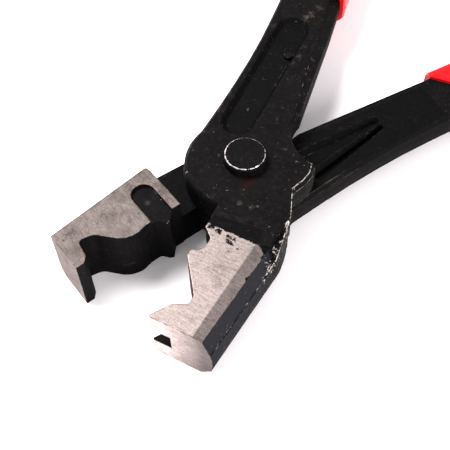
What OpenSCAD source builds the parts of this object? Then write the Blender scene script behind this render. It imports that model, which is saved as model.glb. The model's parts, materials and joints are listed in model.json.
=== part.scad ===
// Boot clamp pliers: two forged levers in a lap joint on one rivet, with dipped grips.
// Millimetres. The pivot axis is Z, the handles point to +Y and the tool lies on z = 0.
// Lever outlines are drawn with the jaws shut, so that the jaws meet on the line x = 0.

/* [Pose] */
// Angle by which the jaws stand open at rest
jaw_open = 25; // [0:1:40]

/* [Joint] */
// Diameter of the round cheek of each lever
cheek_d = 29.4; // [27:0.2:32]
// Thickness of each cheek and of the handle plate that runs on from it
cheek_t = 7.2; // [6:0.1:8.5]
// Gap between the two cheeks
lap_gap = 0.1; // [0.05:0.01:0.3]
// Height of the lower cheek above the surface that the tool lies on
under_step = 3; // [2:0.1:4]
// Diameter of the rivet's shank
shank_d = 8; // [6:0.1:9]
// Running clearance round the shank, on the radius
pivot_fit = 0.05; // [0.02:0.01:0.1]
// Running clearance under the rivet's head
head_fit = 0.05; // [0.02:0.01:0.2]
// Diameter of the rivet's head
head_d = 10.2; // [9.4:0.1:12]
// Height of the rivet's head
head_h = 2.5; // [1.2:0.1:4]
// Chamfer round the top of that head
head_chamfer = 0.5; // [0.3:0.05:1]
// Gap between the lower cheek and the rivet's tail
tail_gap = 0.02; // [0.01:0.01:0.1]
// Diameter of the upset tail under the lower cheek
tail_d = 11.5; // [9.6:0.1:14]
// Gap between a cheek and the other lever's jaw block
cheek_clear = 0.4; // [0.3:0.05:1]

/* [Jaws] */
// Full height of the jaws
jaw_t = 16; // [14.5:0.1:17]
// Distance from the pivot to the end face of the upper jaw
upper_end = 45.3; // [44:0.1:50]
// Distance from the pivot to the end face of the lower jaw
lower_end = 46.8; // [44:0.1:50]
// Distance from the pivot to the shoulder where the ground faces start
shoulder = 18.8; // [17.5:0.1:20]
// Gap that the shut jaws leave on each side of the line x = 0
bite_gap = 0.1; // [0.05:0.05:0.4]
// Width of the upper jaw over its back, at the shoulder
upper_root = 17.5; // [16:0.1:19]
// Width of the upper jaw over its back, at its end
upper_tip = 15.3; // [14:0.1:17]
// How far the upper jaw's seam lies inside its widest line
seam_in = 0.6; // [0.2:0.1:0.8]
// Draft of the upper jaw's back above its seam
upper_draft = 1.7; // [0.8:0.1:2.2]
// Width of the upper jaw's ground top face at the shoulder
upper_face_root = 12.3; // [10:0.1:13.2]
// Width of that face at the end
upper_face_tip = 10.7; // [9:0.1:11.5]
// Width of the lower jaw over its back, at the shoulder
lower_root = 15; // [14:0.1:17]
// Width of the lower jaw over its back, at its end
lower_tip = 12; // [11:0.1:15]
// Drop of the upper jaw's ground bevel at the shoulder
bevel_drop = 0.8; // [0.4:0.1:1.5]
// Width of the bevel along the back of each jaw's base
base_bevel = 2.6; // [0.5:0.1:3]
// Draft of the lower jaw's back above and below its parting line
draft = 1; // [0.3:0.1:1.6]
// Depth of the pocket behind each hook
pocket_depth = 6.2; // [4:0.1:8]
// Distance from the end face to the pocket of the upper jaw
upper_hook = 6.6; // [5:0.1:9]
// Distance from the end face to the pocket of the lower jaw
lower_hook = 4.1; // [3:0.1:6]
// Depth of the vee in the heel of the upper jaw
vee_depth = 2.5; // [1:0.1:4]
// Reach of the spur of the lower jaw into that vee
spur_reach = 2.1; // [0.5:0.1:3.5]
// Distance from the pivot to the spur and the middle of the sunk groove
spur_at = 23.6; // [23:0.1:24.5]
// Width of the sunk groove in the lower jaw's top face
groove_w = 5.8; // [4:0.1:7]
// Length of that groove from the bite
groove_len = 10.4; // [7:0.1:11]
// Depth of that groove
groove_depth = 0.9; // [0.4:0.1:2]
// Height of the slot through the upper jaw's hook
slot_h = 5; // [4.4:0.1:7]
// Depth of that slot from the tip of the hook
slot_depth = 5; // [4.4:0.1:6]
// Distance of that slot below the ground top face
slot_down = 5.8; // [4:0.1:7]

/* [Handles] */
// Angle between a handle and the line on which the jaws meet
splay = 9.6; // [7:0.1:12]
// Distance from the pivot to the end of the steel handle
handle_len = 160; // [130:1:200]
// Distance from the pivot to the inner corner where the scallop ends
waist = 19.4; // [18:0.1:22]
// Width of the handle outside its middle line, next to the cheek
outer_root = 12.7; // [11:0.1:14]
// Width of the handle outside its middle line, at the grip
outer_grip = 8.2; // [6:0.1:10]
// Width of the upper handle inside its middle line
upper_inner = 8.7; // [6:0.1:9]
// Width of the lower handle inside its middle line
lower_inner = 7; // [6:0.1:9]
// Half width of the steel inside the grip, at its end
tang_half = 5; // [4:0.1:7]
// How far the end of a handle bends in towards the other
bow = 11; // [0:0.5:16]
// Radius of the scallop between the handle and the cheek
scallop_r = 10.4; // [9.5:0.1:12]
// Bevel along the forged edges
edge = 1.1; // [0.4:0.1:1.8]
// Depth of the long recess in each handle
recess_depth = 1.3; // [0.5:0.1:2.2]
// Depth of the tapered recess in the lower handle
rib_recess = 1.8; // [1:0.1:2.2]
// Depth of the groove beside the rib in the lower handle
rib_groove = 2.3; // [2:0.1:3]
// Slope of the wide bevel along the inner edge of the upper handle
inner_bevel = 38; // [20:1:50]

/* [Grips] */
// Wall of the dipped coating
grip_wall = 1.3; // [0.8:0.1:2]
// Gap between coating and steel in the model
grip_fit = 0.03; // [0.02:0.01:0.1]
// Distance from the pivot to the edge of the upper grip, on its inner side
upper_grip_at = 61; // [45:0.5:70]
// Distance from the pivot to the edge of the lower grip, on its inner side
lower_grip_at = 58.5; // [45:0.5:70]
// Slant of the upper coating's edge across the handle
upper_slant = 50; // [0:1:55]
// Slant of the lower coating's edge across the handle
lower_slant = 34; // [0:1:55]

/* [Hidden] */
cheek_r = cheek_d / 2;
relief_r = cheek_r + cheek_clear;
lap_z = under_step + cheek_t;
upper_z = lap_z + lap_gap;
top_z = upper_z + cheek_t;
past = 20;
outer_x = upper_root + 6;
ridge = cheek_r - cheek_clear * 3;
neck_in = bite_gap + 0.2;
neck_top = cheek_r * 0.55;
nose_y = 27.8;
mid_z = jaw_t / 2;
belly_z = mid_z - 1;
grip_a = 50;
lip = 0.8;
step_turn = 7;
step_top = 14.9;
step_foot = 19.4;

// Points along an arc, from angle a0 to angle a1
function arc(c, r, a0, a1, n) = [
    for (i = [0 : n]) let (a = a0 + (a1 - a0) * i / n) c + r * [cos(a), sin(a)]
];

function unit(v) = v / norm(v);

// Points that round the corner at p with the radius r, coming from a and going to b
function corner(a, p, b, r, n = 4) =
    let (u = unit(a - p), v = unit(b - p), half = acos(u * v) / 2)
    let (c = p + unit(u + v) * r / sin(half), s = p + u * r / tan(half) - c, e = p + v * r / tan(half) - c)
    let (a0 = atan2(s[1], s[0]), turn = (atan2(e[1], e[0]) - a0 + 540) % 360 - 180)
    arc(c, r, a0, a0 + turn, n);

function xy(p) = [p[0], p[1]];

// A closed outline from corners [x, y, radius], where a radius of 0 keeps the corner sharp
function outline(pts) = let (n = len(pts)) [
    for (i = [0 : n - 1])
        let (p = pts[i], a = xy(pts[(i + n - 1) % n]), b = xy(pts[(i + 1) % n]))
        for (q = p[2] > 0 ? corner(a, xy(p), b, p[2]) : [xy(p)]) q
];

// The outline moved in by d, every edge staying parallel to itself
function inset(pts, d) = let (n = len(pts)) [
    for (i = [0 : n - 1])
        let (e = unit(pts[i] - pts[(i + n - 1) % n]), f = unit(pts[(i + 1) % n] - pts[i]))
        let (m = [-e[1], e[0]], k = [-f[1], f[0]])
        pts[i] + (m + k) * d / (1 + m * k)
];

// Outline of a slot whose ends have different radii
function capsule(c1, r1, c2, r2, n = 8) =
    let (v = c2 - c1, a = atan2(v[1], v[0]), t = acos((r1 - r2) / norm(v)))
    concat(arc(c1, r1, a + t, a + 360 - t, n), arc(c2, r2, a - t, a + t, n));

// The two triangles of a four-cornered face
function quad(a, b, c, d) = [[a, b, c], [a, c, d]];

// Faces across an outline from one side to the other, turned over where flip is true
function ladder(base, n, flip) = [
    for (i = [0 : ceil(n / 2) - 2])
        let (j = n - 1 - i)
        for (f = j - i == 2 ? [[base + i, base + j, base + i + 1]]
            : quad(base + i, base + j, base + j - 1, base + i + 1))
            flip ? [f[2], f[1], f[0]] : f
];

// A solid through outlines of equal length, one for each height
module skin(layers, heights) {
    n = len(layers[0]);
    last = len(layers) - 1;
    polyhedron(
        points = [for (k = [0 : last]) for (p = layers[k]) [p[0], p[1], heights[k]]],
        faces = concat(
            ladder(0, n, true),
            ladder(last * n, n, false),
            [for (k = [0 : last - 1]) for (i = [0 : n - 1]) let (j = (i + 1) % n)
                for (f = quad(k * n + i, (k + 1) * n + i, (k + 1) * n + j, k * n + j)) f]));
}

// Heights and edge insets of a forged plate, with a faint parting line half way up
function forged(z0, z1) = [
    [z0, edge * 0.8], [z0 + edge * 0.8, edge * 0.2], [(z0 + z1) / 2, 0], [z1 - edge, edge * 0.3], [z1, edge]
];

// The corner that stands out where the scallop ends on the cheek
horn = [
    [7, -5], [cheek_r - 1, -5.2], [cheek_r + 0.8, -2.2],
    [cheek_r + 1.8, 0.8], [cheek_r + 1.6, 4.8], [9.4, 7.5]
];

// The cheek and handle plate of a lever, less the scallop between them
module forged_plate(w, z0, z1) {
    steps = forged(z0, z1);
    scallop_x = w + 0.4 + scallop_r * cos(27);
    difference() {
        union() {
            skin([for (s = steps) inset(plate_outline(w), s[1])], [for (s = steps) s[0]]);
            skin([for (s = steps) inset(horn, s[1])], [for (s = steps) s[0]]);
            rotate_extrude($fn = 128)
                polygon(concat([[0, z0]], [for (s = steps) [cheek_r - s[1], s[0]]], [[0, z1]]));
        }
        translate([scallop_x, waist - scallop_r * sin(27), 0])
            rotate_extrude($fn = 128)
                polygon(concat([[0, z0 - edge], [scallop_r + edge, z0 - edge * 0.2]],
                    [for (s = steps) [scallop_r + s[1], s[0]]],
                    [[scallop_r + edge * 1.6, z1 + edge * 0.6], [0, z1 + edge]]));
    }
}

// A recess whose walls slope by wall, sunk by depth below z, or above it where depth is negative
module recess(pts, z, depth, wall) {
    low = inset(pts, wall);
    high = inset(pts, -0.2 * wall);
    if (depth > 0)
        skin([low, high], [z - depth, z + 0.2 * depth]);
    else
        skin([high, low], [z + 0.2 * depth, z - depth]);
}

// Middle line of the handle: straight out to the grip, then bending in towards the other handle
function middle(y) = bow * pow(max(0, y - grip_a) / (handle_len - grip_a), 2);

function outer_half(y) = y < grip_a
    ? outer_grip + (outer_root - outer_grip) * pow((grip_a - y) / (grip_a - waist / 2), 1.6)
    : outer_grip + (tang_half - outer_grip) * (y - grip_a) / (handle_len - grip_a);

function inner_half(y, w) = y < grip_a ? w : w + (tang_half - w) * (y - grip_a) / (handle_len - grip_a);

// Round end of a handle
handle_end = arc([middle(handle_len), handle_len], tang_half, 0, 180, 8);

// Outline of a handle along +Y that starts inside its cheek
function plate_outline(w) =
    let (ys = [for (i = [0 : 19]) i * (handle_len - 4) / 19])
    concat(
        [for (y = ys) [middle(y) + inner_half(y, w), y]],
        handle_end,
        [for (i = [19 : -1 : 0]) [middle(ys[i]) - outer_half(ys[i]), ys[i]]]);

// Heights along the handle at which a grip has a ring, from its slanted edge to the round end
function ring_y(at) = concat(
    [at - 4, at, at + lip],
    [for (i = [1 : 14]) at + lip + i * (handle_len - 4 - at - lip) / 14]);

// Outline of the steel inside a grip, open at the slanted edge, with one spare point at each end
function grip_outline(w, at, slant) =
    let (far = ring_y(at + (w + outer_grip) * tan(slant)), n = len(far))
    concat(
        [for (y = ring_y(at)) [middle(y) + inner_half(y, w), y]],
        handle_end,
        [for (i = [n - 1 : -1 : 0]) [middle(far[i]) - outer_half(far[i]), far[i]]]);

function trim(pts) = [for (i = [1 : len(pts) - 2]) pts[i]];

// Bite of the upper jaw, from its heel out to the end face
upper_bite = outline([
    [neck_in, -ridge + 1, 0],
    [bite_gap, -shoulder - 1.1, 0.3],
    [bite_gap + vee_depth, -spur_at + 1.5, 0.9],
    [bite_gap + vee_depth, -spur_at - 1, 0.8],
    [bite_gap + vee_depth * 0.6, -nose_y + 1.8, 0.4],
    [bite_gap, -nose_y + 1.2, 0.7],
    [bite_gap, -nose_y - 0.6, 0.8],
    [pocket_depth, -upper_end + upper_hook + 2.2, 1],
    [pocket_depth + 0.1, -upper_end + upper_hook - 0.2, 1],
    [bite_gap + 2.9, -upper_end + upper_hook - 1.8, 0.9],
    [bite_gap, -upper_end + 0.4, 0.1],
    [bite_gap + 0.3, -upper_end, 0]
]);

// Bite of the lower jaw, drawn on the same side
lower_bite = outline([
    [bite_gap, -shoulder, 0],
    [bite_gap, -spur_at + 2.4, 0.3],
    [-spur_reach, -spur_at + 0.3, 0.3],
    [-spur_reach + 0.4, -spur_at - 0.5, 0.3],
    [bite_gap, -spur_at - 1.9, 1.2],
    [bite_gap, -nose_y - 0.6, 3],
    [bite_gap - 0.7, -nose_y - 3.6, 4],
    [bite_gap + 0.2, -nose_y - 7, 6],
    [pocket_depth - 1, -lower_end + lower_hook + 3.7, 3],
    [pocket_depth - 0.2, -lower_end + lower_hook, 1.1],
    [bite_gap + 1.4, -lower_end + lower_hook - 0.7, 1],
    [bite_gap, -lower_end + 2.1, 0.3],
    [bite_gap, -lower_end, 0]
]);

// Everything on the far side of a plane along the back: it passes x0 at the shoulder and x1 at
// the distance end, at the height z, and leans by the angle lean from upright
module behind(x0, x1, end, z, lean) {
    translate([x0, -shoulder, z])
        rotate([0, 0, 180 - atan((x0 - x1) / (end - shoulder))])
            rotate([0, lean, 0])
                translate([-past, -past, -past]) cube([past, 4 * past, 2 * past]);
}

// One jaw block: a bite that is square to the faces, and a back that is cut by planes given as
// [width at the shoulder, width at the end, height, lean], with its corner at the end rounded by r
module jaw_block(bite, end, root, tip, rear, r, planes) {
    difference() {
        linear_extrude(jaw_t)
            polygon(concat(bite, corner([0, -end], [tip, -end], [root, -shoulder], r), rear));
        for (p = planes) behind(p[0], p[1], end, p[2], p[3]);
    }
}

// A prism along X whose outline is given in Y and Z
module across(pts, x0, x1) {
    translate([x0, 0, 0])
        rotate([90, 0, 90])
            linear_extrude(x1 - x0) polygon(pts);
}

// Places a lever drawn with the jaws shut into the rest pose, side 1 for the upper one
module lever_pose(side) {
    if (side > 0)
        rotate([0, 0, jaw_open / 2]) children();
    else
        rotate([0, 0, -jaw_open / 2]) mirror([1, 0, 0]) children();
}

module handle_pose() {
    rotate([0, 0, splay]) children();
}

module bore() {
    translate([0, 0, -past]) cylinder(d = shank_d + 2 * pivot_fit, h = 3 * past, $fn = 96);
}

// Clears the round cheek of the other lever below the height z
module relief(z) {
    translate([0, 0, -past]) cylinder(r = relief_r, h = past + z, $fn = 128);
}

// Everything above a slope that falls from y0 at height z0 to y1 at height z1 and runs level from there
module above(y0, z0, y1, z1) {
    high = top_z + past;
    across([[y0, z0], [y1, z1], [-upper_end, z1], [-upper_end, high], [y0, high]], -past, outer_x);
}

// The long recess on the underside of a handle, up from the height z
module under_recess(z) {
    recess(capsule([-4.4, 24], 4, [-1, 46], 3.6), z, -recess_depth, recess_depth);
}

// Planes along the back of the upper jaw: flank above the seam, band under it, lower flank, base
// bevel and the ground strip along the top face
strip_root = upper_root - seam_in - upper_draft;
lower_flank = 8;
upper_planes = [
    [upper_root - seam_in, upper_tip - seam_in, upper_z, atan(upper_draft / (jaw_t - bevel_drop - upper_z))],
    [upper_root, upper_tip, belly_z, atan(seam_in / (upper_z - belly_z))],
    [upper_root, upper_tip, belly_z, -lower_flank],
    [upper_root - 0.6 - base_bevel, upper_tip - 0.6 - base_bevel, 0, -42],
    [upper_face_root, upper_face_tip, jaw_t, atan((strip_root - upper_face_root) / bevel_drop)]
];

// Planes along the back of the lower jaw: both flanks, base bevel and the broken top edge
lower_planes = [
    [lower_root, lower_tip, mid_z, atan(draft / mid_z)],
    [lower_root, lower_tip, mid_z, -atan(draft / mid_z)],
    [lower_root - base_bevel, lower_tip - base_bevel, 0, -45],
    [lower_root - draft - 0.4, lower_tip - draft - 0.4, jaw_t, 45]
];

// Cheek and handle of the upper lever, with its long recess, the bevel along the inner edge and a nub
module upper_handle() {
    difference() {
        forged_plate(upper_inner, upper_z, top_z);
        recess(capsule([-5.2, 11], 4.3, [-1, 46], 4.6), top_z, recess_depth, recess_depth);
        under_recess(upper_z);
        translate([7.3, 13.5, top_z])
            rotate([0, inner_bevel, 2.4]) cube([past, handle_len, past]);
    }
    translate([0.3, 36.4, top_z - recess_depth - 0.2]) cylinder(r = 1, h = recess_depth, $fn = 32);
}

// The part of the upper lever between its cheek and its jaw, with the slope down to the ground face
module upper_neck() {
    difference() {
        translate([0, 0, upper_z]) linear_extrude(cheek_t)
            polygon(outline([
                [neck_in, -neck_top, 0],
                [neck_in, -shoulder - 0.9, 0],
                [upper_root - 2.6, -shoulder + 0.4, 0.6],
                [upper_root - 0.9, -neck_top - 2, 1.5],
                [cheek_r - 1, -3, 1.5],
                [cheek_r - 2.4, 0, 0]
            ]));
        rotate([0, 0, step_turn]) above(-step_top, top_z, -step_foot, jaw_t);
    }
}

// The ridge that runs down the heel of the upper jaw from the cheek to the seam
module heel_ridge() {
    difference() {
        translate([0, 0, belly_z]) linear_extrude(top_z - belly_z)
            polygon([
                [cheek_r, -neck_top - 3],
                [cheek_r, -shoulder - 2],
                [upper_root - 1.3, -shoulder - 5],
                [upper_root - 0.1, -shoulder],
                [upper_root - 0.8, -neck_top - 3]
            ]);
        above(-neck_top - 3, top_z, -shoulder - 5, upper_z - 0.5);
        relief(upper_z);
    }
}

// The upper lever: cheek and handle in the upper layer, jaw block through both
module upper_lever() {
    heel = [
        [upper_root, -shoulder + 0.8], [upper_root - 1, -neck_top - 4], [cheek_r + 0.9, -neck_top - 0.6]
    ];
    color([0.16, 0.16, 0.17])
    lever_pose(1)
    difference() {
        union() {
            handle_pose() upper_handle();
            difference() {
                jaw_block(upper_bite, upper_end, upper_root, upper_tip, heel, 0.4, upper_planes);
                relief(upper_z);
            }
            upper_neck();
            heel_ridge();
        }
        bore();
        translate([-past + slot_depth, -upper_end - past, jaw_t - slot_down - slot_h])
            cube([past, past + upper_hook + 4, slot_h]);
    }
}

// Outline of the rib that stands in the lower handle's recess, narrowed by a factor
function rib(narrow) = capsule([-5, 16.5], 1.5 * narrow, [-0.4, 39.2], 0.7 * narrow);

// Cheek and handle of the lower lever, with the tapered recess and its rib
module lower_handle() {
    difference() {
        forged_plate(lower_inner, under_step, lap_z);
        recess(capsule([-3.2, 16.5], 4.4, [0.5, 37.5], 1.5), lap_z, rib_recess, recess_depth * 0.8);
        recess(capsule([-7.6, 15.5], 1.6, [-1.9, 37.9], 0.8), lap_z, rib_groove, 0.5);
        under_recess(under_step);
    }
    difference() {
        translate([0, 0, lap_z - rib_groove - 0.4])
            skin([rib(1), rib(0.85), rib(0.3)], [0, rib_groove - 0.6, rib_groove + 0.2]);
        translate([0, 0, -past]) cylinder(r = cheek_r - 1, h = 3 * past, $fn = 96);
    }
}

// The part of the lower lever between its cheek and its jaw, stepped up underneath
module lower_neck() {
    difference() {
        linear_extrude(lap_z)
            polygon([
                [neck_in, -neck_top],
                [neck_in, -shoulder - 0.4],
                [lower_root - draft * 1.4, -shoulder - 0.4],
                [lower_root - draft * 2, -neck_top - 2],
                [cheek_r - 2.4, -1.4]
            ]);
        across([
            [-ridge + 3, 0], [-neck_top - 0.5, under_step], [past, under_step], [past, -1], [-ridge + 3, -1]
        ], -past, outer_x);
    }
}

// The sunk U-shaped groove in the lower jaw's top face
module groove() {
    round_at = groove_len - groove_w / 2;
    translate([0, -spur_at - 0.4, jaw_t - groove_depth]) linear_extrude(past) {
        translate([-past, -groove_w / 2]) square([past + round_at, groove_w]);
        translate([round_at, 0]) circle(d = groove_w, $fn = 48);
    }
}

// The lower lever: cheek and handle in the lower layer, jaw block through both
module lower_lever() {
    heel = corner([lower_tip, -lower_end], [lower_root, -shoulder], [0, -shoulder], 2.4);
    color([0.15, 0.15, 0.16])
    lever_pose(-1)
    difference() {
        union() {
            handle_pose() lower_handle();
            jaw_block(lower_bite, lower_end, lower_root, lower_tip, heel, 1.2, lower_planes);
            lower_neck();
        }
        bore();
        groove();
    }
}

// The rivet: a turned head on top, a straight shank and an upset tail flush with the jaws' base
module pivot_rivet() {
    seat = top_z + head_fit;
    neck = under_step - tail_gap;
    color([0.3, 0.3, 0.31])
    rotate_extrude($fn = 96)
        polygon([
            [0, 0],
            [tail_d / 2 - 1, 0],
            [tail_d / 2, 1],
            [tail_d / 2, neck],
            [shank_d / 2, neck],
            [shank_d / 2, seat],
            [head_d / 2, seat],
            [head_d / 2, seat + head_h - head_chamfer],
            [head_d / 2 - head_chamfer, seat + head_h],
            [0, seat + head_h]
        ]);
}

// A dipped grip round the handle plate between z0 and z1: an outer and an inner wall that share
// the same rings, closed by ladders of faces above and below and by a rim at the slanted edge
module grip(w, z0, z1, at, slant) {
    steel = grip_outline(w, at, slant);
    mid = (z0 + z1) / 2;
    rise = z1 - mid + grip_wall;
    round_in = [[1, 2.6], [0.93, 1.2], [0.7, 0.2], [0, 0], [-0.7, 0.2], [-0.93, 1.2], [-1, 2.6]];
    low = z0 - grip_fit;
    high = z1 + grip_fit;
    cavity = [[high, edge], [high - edge, edge * 0.3], [(high - edge + mid) / 2, edge * 0.15], [mid, 0],
        [(low + edge * 0.8 + mid) / 2, edge * 0.1], [low + edge * 0.8, edge * 0.2], [low, edge * 0.8]];
    coat = [for (s = round_in) trim(inset(steel, s[1] - grip_wall))];
    pinched = [for (s = round_in) trim(inset(steel, s[1] * 0.8 - grip_wall + lip / 2))];
    bore = [for (s = cavity) trim(inset(steel, s[1] - grip_fit))];
    n = len(coat[0]);
    e = n - 1;
    last = len(coat) - 1;
    inner = n * (last + 1);
    polyhedron(
        points = concat(
            [for (k = [0 : last]) for (i = [0 : e])
                let (rim = i == 0 || i == e, p = rim ? pinched[k][i] : coat[k][i])
                    [p[0], p[1], mid + round_in[k][0] * (rise - (rim ? lip / 2 : 0))]],
            [for (k = [0 : last]) for (i = [0 : e]) [bore[k][i][0], bore[k][i][1], cavity[k][0]]]),
        faces = concat(
            [for (k = [0 : last - 1]) for (i = [0 : e - 1]) let (a = k * n + i, b = a + n)
                for (f = quad(a, a + 1, b + 1, b)) f],
            [for (k = [0 : last - 1]) for (i = [0 : e - 1]) let (a = inner + k * n + i, b = a + n)
                for (f = quad(a, b, b + 1, a + 1)) f],
            ladder(0, n, false),
            ladder(last * n, n, true),
            ladder(inner, n, true),
            ladder(inner + last * n, n, false),
            [for (k = [0 : last - 1]) let (a = k * n, b = a + n)
                for (f = quad(a, b, b + inner, a + inner)) f],
            [for (k = [0 : last - 1]) let (a = k * n + e, b = a + n)
                for (f = quad(b, a, a + inner, b + inner)) f],
            quad(e, 0, inner, e + inner),
            quad(last * n, last * n + e, last * n + e + inner, last * n + inner)));
}

module upper_grip() {
    color([0.8, 0.08, 0.08])
    lever_pose(1) handle_pose() grip(upper_inner, upper_z, top_z, upper_grip_at, upper_slant);
}

module lower_grip() {
    color([0.8, 0.08, 0.08])
    lever_pose(-1) handle_pose() grip(lower_inner, under_step, lap_z, lower_grip_at, lower_slant);
}

upper_lever();
lower_lever();
pivot_rivet();
upper_grip();
lower_grip();
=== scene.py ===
import json
import math

import bpy
from mathutils import Matrix, Vector


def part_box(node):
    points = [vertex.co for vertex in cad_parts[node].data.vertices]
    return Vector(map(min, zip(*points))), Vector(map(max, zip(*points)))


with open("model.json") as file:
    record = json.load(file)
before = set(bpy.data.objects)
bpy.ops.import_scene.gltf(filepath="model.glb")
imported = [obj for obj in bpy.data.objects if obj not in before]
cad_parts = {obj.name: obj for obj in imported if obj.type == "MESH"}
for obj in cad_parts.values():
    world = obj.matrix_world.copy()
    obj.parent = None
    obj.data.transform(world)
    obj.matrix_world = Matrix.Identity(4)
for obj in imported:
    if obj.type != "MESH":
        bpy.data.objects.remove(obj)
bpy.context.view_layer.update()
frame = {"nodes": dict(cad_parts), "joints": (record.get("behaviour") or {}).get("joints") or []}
nodes = frame["nodes"]

# Turn of each lever from shut to the rest pose, and how much further its handle splays
HALF_OPEN = math.radians(frame["joints"][0]["range_deg"][1] / 2)
SPLAY = math.radians(9.6)

# Heights of the jaws' tops and of the cheek, and of the bands just under the cheek's edge: the tops of the
# painted shade under the cheek and in the recess, and the foot of the dust along the top of that shade
JAW_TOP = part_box("lower_lever")[1].z
CHEEK_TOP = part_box("upper_lever")[1].z
CHEEK_SHADE_TOP = CHEEK_TOP - 0.0002
RECESS_SHADE_TOP = CHEEK_TOP - 0.0003
DUST_LOW = CHEEK_TOP - 0.0006

# Places on a lever as it lies when shut, outward from the bite and along the jaw, and how near the
# jaw's end a face lies that counts as the end face
WALL_OUT = 0.009
CHEEK_SHADE_OUT = 0.0125
HEEL_OUT = 0.0163
HEEL_ALONG = (-0.0245, -0.012)
CHEEK_OUT = 0.0128
CHEEK_ALONG = (-0.012, 0.0062)
END_DEPTH = 0.00004

# The recess across and along its handle, and where the handle starts
RECESS_ACROSS = (-0.0098, 0.0045)
RECESS_ALONG = (0.008, 0.055)
HANDLE_START = 0.002

# How far faces point up: walls less than this, ground tops more, the flank with its painted sheen and the
# ground strip with its painted shade in a range
WALL_TILT = 0.5
GROUND_TILT = 0.82
FLANK_TILT = (0.15, 0.6)
STRIP_TILT = (GROUND_TILT, 0.99)

# Edges of the ground tops: unevenness of the lower one, and on the upper jaw, the place outward
# where the edge at the shoulder begins to curve back, how fast it does, and the core of a pitted spot
LOW_EDGE_WOBBLE = 0.0013
CURVE_OUT = 0.0122
CURVE_RATE = 230.0
PIT_CORE = 0.0008

# The parting seam: its unevenness, and the distances from it where its line of painted shade, its wear and
# its groove begin and are full
SEAM_WOBBLE = 0.0009
SEAM_SHADE = (0.0006, 0.0003)
SEAM_WORN = (0.0005, 0.0002)
SEAM_DEEP = (0.0003, 0.0)

# The rivet's worn rim: radius, mean half width, widening to the front left, unevenness, and a height
# that it lies above
RIM_RADIUS = 0.0047
RIM_HALF_WIDTH = 0.00007
RIM_WIDENING = 0.006
RIM_WOBBLE = 0.0007
HEAD_LOW = CHEEK_TOP + 0.001

# Painted light on the other ground faces, as a factor where that of the tops is 1: painted shade on the
# strip, a painted glare on the upper end, which runs from its first place outward to its second, with a
# factor for each, and painted light on the lower end
STRIP_PAINTED_SHADE = 0.84
UPPER_END_PAINTED_GLARE = (0.013, 0.003, 0.55, 3.1)
LOWER_END_PAINTED_LIGHT = 1.5

# Metal share of worn edges, of ground steel, of the lower end and of the rivet's rim, and dullness of
# that rim
WORN_METAL = 0.4
GROUND_METAL = 0.8
LOWER_END_METAL = 0.35
RIM_METAL = 0.5
RIM_DULLNESS = 0.4

# Turn of the scratches in the black finish, in radians, and stretch of them and of the grinding marks
SCRATCH_TURN = 0.5
SCRATCH_STRETCH = (14, 1, 1)
FINE_STRETCH = (7, 1, 3)
BROAD_STRETCH = (4, 1, 3)

# Gloss of each finish, dullness of the floor, and depths of the bumps
BLACK_GLOSS = 0.035
VINYL_GLOSS = 0.16
FLOOR_GLOSS = 0.5
FLOOR_DULLNESS = 0.9
STEEL_BUMP = 0.0001
VINYL_BUMP = 0.0004
FLOOR_BUMP = 0.00002

# Softened edges: their reach, and how well the softened normal matches the real one where an edge
# begins and where it is full
EDGE_RADIUS = 0.0004
EDGE_MATCH = (0.985, 0.93)

# Colours of the black finish, of what shows through it, and of the painted sheen, shade and highlight on it
DEEP_BLACK = (0.0011, 0.001, 0.0011)
WORN_BLACK = (0.0026, 0.0023, 0.0023)
DUSTY = (0.011, 0.0085, 0.0078)
SCUFFED = (0.04, 0.029, 0.025)
RUST = (0.07, 0.032, 0.022)
SCRATCHED = (0.1, 0.08, 0.07)
# Bluish painted sheen, standing in for light reflected on the jaw's flank
PAINTED_FLANK_SHEEN = (0.011, 0.0112, 0.0145)
# Near black for the painted shade under the cheek, in the recess and along the seam
PAINTED_SHADE_BLACK = (0.0004, 0.0004, 0.0004)
RUBBED = (0.16, 0.12, 0.1)
BARE = (0.6, 0.53, 0.49)
RIM_STEEL = (0.5, 0.47, 0.46)
RED_SPECK = (0.07, 0.016, 0.011)
RED_SMEAR = (0.014, 0.001, 0.001)
# Pale spot for the highlight in a small dimple: a painted highlight
DIMPLE_PAINTED_HIGHLIGHT = (0.02, 0.02, 0.022)

# Colours of a ground face, which its tone then darkens, and of the dirt on it
GROUND_LIGHT = (0.9, 0.74, 0.7)
GROUND_DARK = (0.6, 0.48, 0.45)
GROUND_SMUDGE = (0.27, 0.225, 0.2)
GROUND_EDGE = (0.07, 0.035, 0.022)
GROUND_STREAK = (0.17, 0.12, 0.09)

# Darker and lighter colour of the coating and of the floor
VINYL = [(0.44, 0.0022, 0.005), (0.5, 0.0036, 0.008)]
FLOOR = [(0.92, 0.875, 0.895), (0.94, 0.895, 0.915)]
FLOOR_REACH = 3.0

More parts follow.
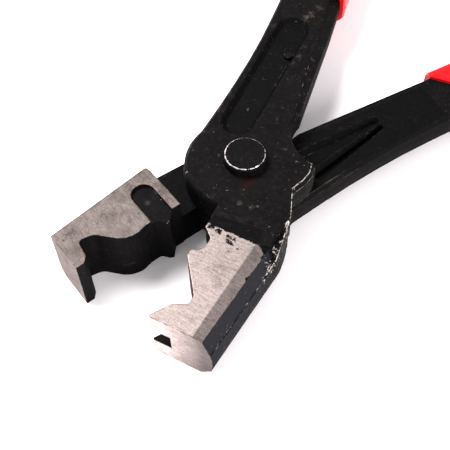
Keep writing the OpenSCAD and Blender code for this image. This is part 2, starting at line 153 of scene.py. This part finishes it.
# Marks on the black finish: place in plan, reach, strength, colour, and whether they are grainy
UPPER_MARKS = [
    (-0.0178, 0.0478, 0.0027, 0.22, RUBBED, True),
    (-0.0175, 0.05, 0.0027, 0.2, RUBBED, True),
    (-0.0172, 0.0528, 0.0025, 0.14, RUBBED, True),
    (-0.0101, 0.0321, 0.0022, 0.22, RUBBED, True),
    (-0.0108, 0.0352, 0.0018, 0.12, RUBBED, True),
    (-0.0116, 0.0387, 0.0018, 0.08, RUBBED, True),
    (-0.0232, 0.0396, 0.0022, 0.16, RUBBED, True),
    (0.0071, -0.0105, 0.0015, 0.14, RUBBED, True),
    (0.0096, -0.0096, 0.0017, 0.12, RUBBED, True),
    (-0.0136, 0.0009, 0.0018, 0.13, RUBBED, True),
    (-0.0148, 0.0076, 0.002, 0.14, RUBBED, True),
    (-0.016, 0.0137, 0.0018, 0.12, RUBBED, True),
    (-0.0061, 0.0332, 0.0012, 0.12, RUBBED, True),
    (-0.0075, 0.0367, 0.0012, 0.12, RUBBED, True),
    (0.0052, -0.0068, 0.0004, 0.6, RED_SPECK, False),
    (0.0046, -0.0041, 0.0024, 0.4, RED_SMEAR, False)
]
# A painted highlight of a small dimple in the lower jaw's groove
LOWER_MARKS = [(-0.0106, -0.0225, 0.0009, 0.8, DIMPLE_PAINTED_HIGHLIGHT, False)]

# Spots where the black is knocked off down to bright steel: place in plan, reach, lowest height
UPPER_KNOCKS = [
    (0.0189, -0.0085, 0.0012, 0.009),
    (0.0194, -0.0113, 0.0016, 0.009),
    (0.02, -0.0134, 0.0022, 0.009),
    (0.0204, -0.0164, 0.0024, 0.009),
    (0.0212, -0.0192, 0.0011, 0.009),
    (-0.0088, -0.011, 0.0008, 0.015)
]
LOWER_KNOCKS = [(-0.0033, -0.0237, 0.0012, 0.0147), (-0.0061, -0.0258, 0.001, 0.0149)]

# Spots of the upper ground face where black pits are left: place in plan and reach
UPPER_PITS = [(0.0112, -0.0191, 0.0044), (0.0062, -0.0186, 0.0036)]

# Stains on the ground faces: place in plan, reach and strength
UPPER_STAINS = [(0.0136, -0.0259, 0.003, 0.6), (0.016, -0.0284, 0.002, 0.6)]
LOWER_STAINS = [
    (-0.0179, -0.04, 0.0028, 0.9),
    (-0.0198, -0.0309, 0.002, 0.8),
    (-0.0151, -0.0314, 0.0024, 0.7),
    (-0.0167, -0.0225, 0.0016, 0.8),
    (-0.007, -0.0193, 0.0015, 0.8)
]

# Each jaw: its side of the bite, distances of its end and shoulder from the pivot, lowest height of
# its ground top, height of its parting seam, and how far the edge at the shoulder frays
UPPER_JAW = dict(side=1, end=0.0453, shoulder=0.0189, face_low=0.01525, seam=0.0103, fray=0.0022)
LOWER_JAW = dict(side=-1, end=0.0468, shoulder=0.0183, face_low=0.0157, seam=0.0066, fray=0.0004)

# How each jaw is ground: turn of the grinding marks, tone, dirt, dullness and stains
UPPER_GRINDING = dict(angle=math.radians(-4), tone=0.255, grime=0.45, dullness=0.4, stains=UPPER_STAINS)
LOWER_GRINDING = dict(angle=0.0, tone=0.185, grime=0.75, dullness=0.6, stains=LOWER_STAINS)

# Sockets of the mix node: the share, the two numbers, the two colours, and the mixed colour
MIX_SHARE = 0
MIX_NUMBERS = (2, 3)
MIX_COLORS = (6, 7)
MIX_COLOR_OUT = 2

# Lamps: name, place, width and power, in metres and watts
LAMPS = [("key", (-0.5, -0.02, 0.8), 0.6, 20.5), ("fill", (0.75, -0.12, 0.38), 0.5, 9.5)]
SKY_STRENGTH = 0.9

# The photograph's camera
CAMERA_PLACE = Vector((0.07637, -0.09419, 0.17065))
CAMERA_AIM = Vector((0.00753, -0.01629, JAW_TOP))
CAMERA_ROLL = math.radians(-1.64)
LENS = 66.3
SENSOR_WIDTH = 36


class Value:
    """A number or colour for each point of a surface, reckoned with by the usual signs."""

    def __init__(self, paint, socket):
        self.paint = paint
        self.socket = socket

    def reckon(self, operation, other=0.0):
        return self.paint.add("ShaderNodeMath", {0: self, 1: other}, operation=operation)

    def __add__(self, other):
        return self.reckon("ADD", other)

    def __sub__(self, other):
        return self.reckon("SUBTRACT", other)

    def __mul__(self, other):
        return self.reckon("MULTIPLY", other)

    def __pow__(self, other):
        return self.reckon("POWER", other)

    def __gt__(self, other):
        return self.reckon("GREATER_THAN", other)

    def __lt__(self, other):
        return self.reckon("LESS_THAN", other)

    def __or__(self, other):
        """The larger of the two."""
        return self.reckon("MAXIMUM", other)

    def __abs__(self):
        return self.reckon("ABSOLUTE")

    def between(self, low, high):
        return (self > low) * (self < high)

    def ramp(self, low, high, start=0.0, stop=1.0):
        """Runs from start to stop while the value runs from low to high, and is held outside."""
        limits = {"Value": self, "From Min": low, "From Max": high, "To Min": start, "To Max": stop}
        return self.paint.add("ShaderNodeMapRange", limits)


def rgba(color):
    """A colour as a socket takes it."""
    return color if isinstance(color, Value) else (*color, 1)


class Paint:
    """A node material in the making."""

    def __init__(self, name):
        self.material = bpy.data.materials.new(name)
        self.material.use_nodes = True
        self.tree = self.material.node_tree
        self.tree.nodes.clear()
        self.place = self.add("ShaderNodeTexCoord", {}, "Object")
        self.facing = self.add("ShaderNodeTexCoord", {}, "Normal")
        self.plan = self.add("ShaderNodeVectorMath", {0: self.place, 1: (1, 1, 0)}, operation="MULTIPLY")

    def add(self, kind, inputs, output=0, **settings):
        """Adds one shader node and gives one of its outputs."""
        made = self.tree.nodes.new(kind)
        for name, setting in settings.items():
            setattr(made, name, setting)
        for name, value in inputs.items():
            if isinstance(value, Value):
                self.tree.links.new(value.socket, made.inputs[name])
            else:
                made.inputs[name].default_value = value
        return Value(self, made.outputs[output])

    def split(self, vector):
        """The three parts of a vector."""
        first = self.add("ShaderNodeSeparateXYZ", {0: vector})
        return [Value(self, part) for part in first.socket.node.outputs]

    def turned(self, angle, stretch=(1, 1, 1)):
        """Places turned back by an angle about Z, then stretched along the turned axes."""
        inputs = {"Vector": self.place, "Rotation": (0, 0, angle), "Scale": stretch}
        return self.add("ShaderNodeMapping", inputs, vector_type="TEXTURE")

    def noise(self, scale, detail=4.0, roughness=0.55, vector=None):
        inputs = {"Vector": vector or self.place, "Scale": scale, "Detail": detail, "Roughness": roughness}
        return self.add("ShaderNodeTexNoise", inputs, "Fac")

    def wobble(self, width, scale, detail, roughness):
        """Noise to both sides of zero, for an uneven edge."""
        return (self.noise(scale, detail, roughness) - 0.5) * width

    def near(self, x, y):
        """Distance in plan from a place of the rest pose."""
        return self.add("ShaderNodeVectorMath", {0: self.plan, 1: (x, y, 0)}, "Value", operation="DISTANCE")

    def mix(self, share, under, over):
        """One colour with a share of another over it."""
        first, second = MIX_COLORS
        inputs = {MIX_SHARE: share, first: rgba(under), second: rgba(over)}
        return self.add("ShaderNodeMix", inputs, MIX_COLOR_OUT, data_type="RGBA")

    def blend(self, share, under, over):
        """One number with a share of another over it."""
        first, second = MIX_NUMBERS
        inputs = {MIX_SHARE: share, first: under, second: over}
        return self.add("ShaderNodeMix", inputs, data_type="FLOAT")

    def scaled(self, color, factor):
        """A colour times a factor."""
        return self.add("ShaderNodeVectorMath", {0: color, "Scale": factor}, operation="SCALE")

    def soft_edges(self, radius):
        """Normal with rounded edges, and a mask of the places where it strays from the real one."""
        soft = self.add("ShaderNodeBevel", {"Radius": radius}, samples=8)
        hard = self.add("ShaderNodeNewGeometry", {}, "Normal")
        match = self.add("ShaderNodeVectorMath", {0: soft, 1: hard}, "Value", operation="DOT_PRODUCT")
        return soft, match.ramp(*EDGE_MATCH)

    def bump(self, height, distance, strength, normal=None):
        inputs = {"Height": height, "Distance": distance, "Strength": strength}
        if normal:
            inputs["Normal"] = normal
        return self.add("ShaderNodeBump", inputs)

    def finish(self, color, metallic, roughness, normal, specular):
        """The finished material, from the looks of its surface."""
        surface = self.add("ShaderNodeBsdfPrincipled", {
            "Base Color": color, "Metallic": metallic, "Roughness": roughness,
            "Normal": normal, "Specular IOR Level": specular
        })
        output = self.tree.nodes.new("ShaderNodeOutputMaterial")
        self.tree.links.new(surface.socket, output.inputs["Surface"])
        return self.material


def blackened(paint):
    """Colour, roughness and height of a blackened forging, with scuffs and faint brown dust."""
    grain = paint.noise(1500, 5, 0.6)
    cloud = paint.noise(130)
    dust = paint.noise(620, 6, 0.72)
    patch = paint.noise(90, 3)
    color = paint.mix(cloud.ramp(0.3, 0.7), DEEP_BLACK, WORN_BLACK)
    color = paint.mix(paint.noise(1000, 5, 0.7).ramp(0.5, 0.66, 0.0, 0.35), color, DUSTY)
    color = paint.mix(dust.ramp(0.58, 0.72) * patch.ramp(0.42, 0.62) * 0.5, color, SCUFFED)
    color = paint.mix(paint.noise(1250, 2, 0.5).ramp(0.73, 0.77, 0.0, 0.5), color, RUST)
    scratch = paint.noise(520, 3, 0.5, paint.turned(SCRATCH_TURN, SCRATCH_STRETCH))
    color = paint.mix(scratch.ramp(0.68, 0.72) * dust.ramp(0.5, 0.6) * 0.3, color, SCRATCHED)
    return color, grain.ramp(0.3, 0.7, 0.52, 0.7), grain * 0.5 + cloud * 1.5


def ground(paint, angle, tone, grime, dullness, stains):
    """Colour, roughness and height of a ground face whose grinding marks run at an angle."""
    fine = paint.noise(4200, 3, 0.6, paint.turned(angle, FINE_STRETCH))
    broad = paint.noise(1900, 4, 0.6, paint.turned(angle, BROAD_STRETCH))
    marks = (fine + paint.noise(3400, 2, 0.6) + broad) * (1 / 3)
    scratch = paint.noise(2300, 2, 0.5, paint.turned(angle, FINE_STRETCH))
    patch = paint.noise(95, 3)
    stain = paint.noise(260, 6, 0.7)
    freckles = paint.noise(1300, 5, 0.75)
    pits = paint.noise(1500, 1, 0.5)
    grit = paint.noise(2400, 3, 0.7)
    color = paint.mix(marks.ramp(0.44, 0.56), GROUND_DARK, GROUND_LIGHT)
    color = paint.mix(scratch.ramp(0.58, 0.68) * grime * 0.6, color, GROUND_SMUDGE)
    color = paint.mix(stain.ramp(0.43, 0.62) * patch.ramp(0.4, 0.6, 0.2, 1.0) * grime, color, GROUND_SMUDGE)
    color = paint.mix(freckles.ramp(0.58, 0.66) * grime, color, GROUND_SMUDGE)
    color = paint.mix(pits.ramp(0.69, 0.74) * grime, color, GROUND_EDGE)
    color = paint.mix(grit.ramp(0.56, 0.68) * patch.ramp(0.35, 0.6, 0.35, 0.8), color, GROUND_SMUDGE)
    for x, y, reach, share in stains:
        blot = paint.near(x, y).ramp(reach, reach * 0.3) * freckles.ramp(0.43, 0.57) * share
        color = paint.mix(blot, color, GROUND_SMUDGE)
    return paint.scaled(color, tone), fine.ramp(0.3, 0.7, dullness, dullness + 0.16), fine


class LeverPaint(Paint):
    """The material of a lever, measured outward from the bite and along the jaw as when it is shut."""

    def __init__(self, name, side, end, shoulder, face_low, seam, fray):
        super().__init__(name)
        self.side = side
        self.shoulder = shoulder
        self.face_low = face_low
        self.fray = fray
        x, self.y, _ = self.split(self.turned(side * HALF_OPEN))
        self.outward = x * side
        self.height = self.split(self.place)[2]
        self.upright = self.split(self.facing)[2]
        self.chips = self.noise(900, 5, 0.75)
        self.soft, self.edge = self.soft_edges(EDGE_RADIUS)
        self.tip = self.y < END_DEPTH - end
        self.walls = (self.upright < WALL_TILT) * (self.outward > WALL_OUT)
        self.from_seam = abs(self.height + self.wobble(SEAM_WOBBLE, 260, 4, 0.6) - seam)
        handle_x, self.handle_y, _ = self.split(self.turned(side * (HALF_OPEN + SPLAY)))
        self.across = handle_x * side
        self.recess = self.across.between(*RECESS_ACROSS) * self.handle_y.between(*RECESS_ALONG)

    def ground_top(self, pits):
        """Mask of the ground top, with a chipped lower edge and a frayed edge at the shoulder."""
        start = self.y + self.wobble(self.fray, 750, 6, 0.75)
        if self.side > 0:
            start = start + ((self.outward - CURVE_OUT) | 0.0) ** 2.0 * CURVE_RATE
        low_edge = self.height + self.wobble(LOW_EDGE_WOBBLE, 200, 5, 0.62)
        top = (low_edge > self.face_low) * (self.upright > GROUND_TILT) * (start < -self.shoulder)
        holes = self.noise(680, 4, 0.7)
        for x, y, reach in pits:
            top = top * (holes + self.near(x, y).ramp(PIT_CORE, reach, 0.05, -0.2) < 0.55)
        return top

    def ground_steel(self, angle, tone, grime, dullness, stains):
        """Ground steel, with painted light on the end faces, a painted glare on the upper end, painted
        shade on the upper strip, and with chipped edges.
        """
        color, rough, lines = ground(self, self.side * HALF_OPEN + angle, tone, grime, dullness, stains)
        # Painted shade on the upper jaw's strip, and painted light on the end faces, growing to a painted
        # glare towards the bite on the upper end
        face_painted_shade = 1.0
        end_painted_light = LOWER_END_PAINTED_LIGHT
        if self.side > 0:
            face_painted_shade = self.blend(self.upright.between(*STRIP_TILT), 1.0, STRIP_PAINTED_SHADE)
            end_painted_light = self.outward.ramp(*UPPER_END_PAINTED_GLARE)
        color = self.scaled(color, self.blend(self.tip, face_painted_shade, end_painted_light))
        color = self.mix(self.tip * self.chips.ramp(0.52, 0.64) * 0.55, color, GROUND_STREAK)
        color = self.mix(self.edge * self.chips.ramp(0.45, 0.56) * 0.75, color, GROUND_EDGE)
        color = self.mix(self.edge * self.chips.ramp(0.46, 0.38) * 0.5, color, RIM_STEEL)
        return color, rough, lines

    def black_steel(self):
        """Black finish, with a painted bluish sheen on the flank, and painted shade under the cheek, in the
        handle's recess and along the seam where the dies met.
        """
        color, rough, lumps = blackened(self)
        # Painted bluish sheen on the jaw's sloping flank
        flank = (self.y < -self.shoulder) * self.upright.between(*FLANK_TILT)
        color = self.mix(flank * 0.8, color, PAINTED_FLANK_SHEEN)
        # Painted shade under the cheek's edge, behind the shoulder, with dust along its top
        under_cheek = (self.height < CHEEK_SHADE_TOP) * (self.outward < CHEEK_SHADE_OUT)
        cheek_shade = self.y.between(-self.shoulder, 0.0) * under_cheek
        rim = cheek_shade * (self.height > DUST_LOW) * self.chips.ramp(0.4, 0.6)
        color = self.mix(cheek_shade * 0.85, color, PAINTED_SHADE_BLACK)
        color = self.mix(rim * 0.5, color, DUSTY)
        # Painted shade in the groove of the parting seam on the walls
        color = self.mix(self.walls * self.from_seam.ramp(*SEAM_SHADE) * 0.9, color, PAINTED_SHADE_BLACK)
        outer = (self.across < RECESS_ACROSS[0]) * (self.handle_y > HANDLE_START)
        rubbed = self.edge.ramp(0.02, 0.25) * outer * self.noise(420, 4, 0.7).ramp(0.42, 0.6)
        color = self.mix(rubbed * 0.3, color, RUBBED)
        # Painted shade in the handle's recess
        color = self.mix(self.recess * (self.height < RECESS_SHADE_TOP) * 0.6, color, PAINTED_SHADE_BLACK)
        return color, rough, lumps - self.walls * self.from_seam.ramp(*SEAM_DEEP) * 2.5

    def wear(self, knocks):
        """Mask of bare steel on the edges, less of it in the recess, and at the knocked spots."""
        worn = self.edge * self.chips.ramp(0.5, 0.6) * self.noise(60, 3).ramp(0.52, 0.64, 0.0, 0.45)
        worn = worn * self.blend(self.recess, 1.0, 0.15)
        worn = worn | self.walls * self.from_seam.ramp(*SEAM_WORN) * self.chips.ramp(0.56, 0.62) * 0.22
        if self.side > 0:
            heel_edge = (self.outward > HEEL_OUT) * self.y.between(*HEEL_ALONG)
            cheek_edge = (self.outward > CHEEK_OUT) * self.y.between(*CHEEK_ALONG)
            worn = worn | self.edge * (heel_edge | cheek_edge) * self.chips.ramp(0.44, 0.54)
        flakes = self.noise(1500, 4, 0.7)
        for x, y, reach, low in knocks:
            flaked = flakes + self.near(x, y).ramp(0.0, reach, 0.08, -0.1)
            worn = worn | flaked.ramp(0.6, 0.66) * (self.height > low) * 0.75
        return worn

    def marked(self, color, marks):
        """The colour with its marks over it."""
        grain = self.noise(650, 5, 0.7)
        for x, y, reach, share, mark_color, grainy in marks:
            away = self.near(x, y)
            if grainy:
                spot = (grain + away.ramp(0.0, reach, 0.1, -0.2)).ramp(0.46, 0.66)
            else:
                spot = away.ramp(reach, reach * 0.25)
            color = self.mix(spot * share, color, mark_color)
        return color


def lever_steel(name, jaw, grinding, end_metal, marks, knocks, pits):
    """Blackened lever with ground faces on its jaw: the top, the strip beside it and the end."""
    paint = LeverPaint(name, **jaw)
    bright = paint.ground_top(pits) | paint.tip
    steel, steel_rough, lines = paint.ground_steel(**grinding)
    black, black_rough, lumps = paint.black_steel()
    worn = paint.wear(knocks)
    black = paint.marked(paint.mix(worn, black, BARE), marks)
    color = paint.mix(bright, black, steel)
    metallic = paint.blend(paint.tip, paint.blend(bright, worn * WORN_METAL, GROUND_METAL), end_metal)
    rough = paint.blend(bright, black_rough, steel_rough)
    bumps = paint.bump(paint.blend(bright, lumps, lines * 0.3), STEEL_BUMP, 0.6, paint.soft)
    return paint.finish(color, metallic, rough, bumps, BLACK_GLOSS)


def rivet_steel():
    """Black rivet whose upper rim is worn bright, more so towards the front left."""
    paint = Paint("rivet_steel")
    black, rough, lumps = blackened(paint)
    x, y, z = paint.split(paint.place)
    half_width = paint.wobble(RIM_WOBBLE, 1400, 4, 0.7) - (x + y) * RIM_WIDENING + RIM_HALF_WIDTH
    rim = (abs(paint.near(0, 0) - RIM_RADIUS) < half_width) * (z > HEAD_LOW)
    color = paint.mix(rim, black, RIM_STEEL)
    rough = paint.blend(rim, rough, RIM_DULLNESS)
    return paint.finish(color, rim * RIM_METAL, rough, paint.bump(lumps, STEEL_BUMP, 0.6), BLACK_GLOSS)


def red_vinyl():
    """Dipped red coating, glossy and slightly uneven."""
    paint = Paint("red_vinyl")
    waves = paint.noise(45, 3)
    color = paint.mix(waves.ramp(0.3, 0.7), *VINYL)
    rough = waves.ramp(0.3, 0.7, 0.2, 0.3)
    return paint.finish(color, 0.0, rough, paint.bump(waves, VINYL_BUMP, 0.3), VINYL_GLOSS)


def floor_white():
    """Very pale and matt, with a faint grain."""
    paint = Paint("floor")
    grain = paint.noise(900, 3)
    color = paint.mix(grain, *FLOOR)
    return paint.finish(color, 0.0, FLOOR_DULLNESS, paint.bump(grain, FLOOR_BUMP, 0.2), FLOOR_GLOSS)


def dress(name, material):
    """Gives a piece its only material."""
    made = nodes[name]
    made.data.materials.clear()
    made.data.materials.append(material)


def stage():
    """A wide pale floor, which the light turns white except in the shadow of the part."""
    far = FLOOR_REACH
    mesh = bpy.data.meshes.new("floor")
    mesh.from_pydata([(-far, -far, 0), (far, -far, 0), (far, far, 0), (-far, far, 0)], [], [(0, 1, 2, 3)])
    floor = bpy.data.objects.new("floor", mesh)
    bpy.context.collection.objects.link(floor)
    mesh.materials.append(floor_white())


def lamp(name, at, size, power):
    """A round soft lamp that points at the pivot."""
    data = bpy.data.lights.new(name, "AREA")
    data.shape = "DISK"
    data.size = size
    data.energy = power
    made = bpy.data.objects.new(name, data)
    made.location = at
    made.rotation_euler = (-Vector(at)).to_track_quat("-Z", "Y").to_euler()
    bpy.context.collection.objects.link(made)


def camera():
    """The photograph's camera, aimed and slightly rolled."""
    data = bpy.data.cameras.new("camera")
    data.sensor_width = SENSOR_WIDTH
    data.lens = LENS
    made = bpy.data.objects.new("camera", data)
    turn = (CAMERA_AIM - CAMERA_PLACE).to_track_quat("-Z", "Y").to_matrix().to_4x4()
    made.matrix_world = Matrix.Translation(CAMERA_PLACE) @ turn @ Matrix.Rotation(CAMERA_ROLL, 4, "Z")
    bpy.context.collection.objects.link(made)
    bpy.context.scene.camera = made


def studio():
    """Even white light from all round."""
    world = bpy.data.worlds.new("studio")
    world.use_nodes = True
    sky = world.node_tree.nodes["Background"].inputs
    sky["Color"].default_value = (1, 1, 1, 1)
    sky["Strength"].default_value = SKY_STRENGTH
    bpy.context.scene.world = world
    bpy.context.scene.view_settings.view_transform = "Standard"


dress("upper_lever", lever_steel(
    "upper_steel", UPPER_JAW, UPPER_GRINDING, end_metal=GROUND_METAL,
    marks=UPPER_MARKS, knocks=UPPER_KNOCKS, pits=UPPER_PITS))
dress("lower_lever", lever_steel(
    "lower_steel", LOWER_JAW, LOWER_GRINDING, end_metal=LOWER_END_METAL,
    marks=LOWER_MARKS, knocks=LOWER_KNOCKS, pits=[]))
dress("pivot_rivet", rivet_steel())
vinyl = red_vinyl()
dress("upper_grip", vinyl)
dress("lower_grip", vinyl)

stage()
for settings in LAMPS:
    lamp(*settings)
camera()
studio()
